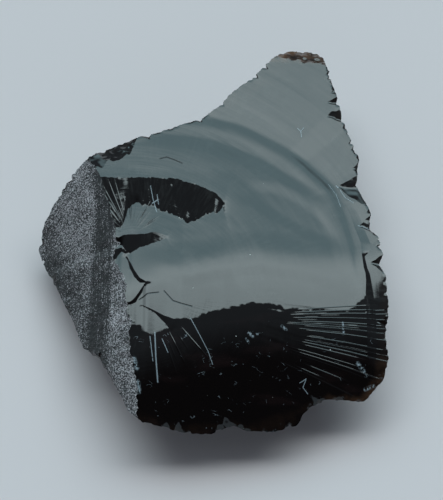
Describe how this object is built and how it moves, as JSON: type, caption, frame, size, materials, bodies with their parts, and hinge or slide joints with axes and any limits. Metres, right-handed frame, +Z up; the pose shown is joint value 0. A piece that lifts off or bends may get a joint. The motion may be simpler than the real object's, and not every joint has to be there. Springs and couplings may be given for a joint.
{
  "type": "obsidian chunk",
  "caption": "Glossy black volcanic-glass stone with a broad shell-shaped fracture face, one rough sloping face, a sharp chipped edge and a flat underside.",
  "frame": {"origin": "centre of the bounding box in plan, on the surface the stone rests on", "axes": "+Z up out of the resting surface and along the stone's thickness; +Y along its length, from the blunt front edge to the pointed tip; +X across it, from the rough face to the chipped right edge"},
  "size_m": [0.0456, 0.0542, 0.0142],
  "materials": {
    "obsidian": "glossy black volcanic glass, with one rough, matt grey face"
  },
  "bodies": {
    "root": {"obsidian_chunk": "obsidian"}
  },
  "joints": []
}
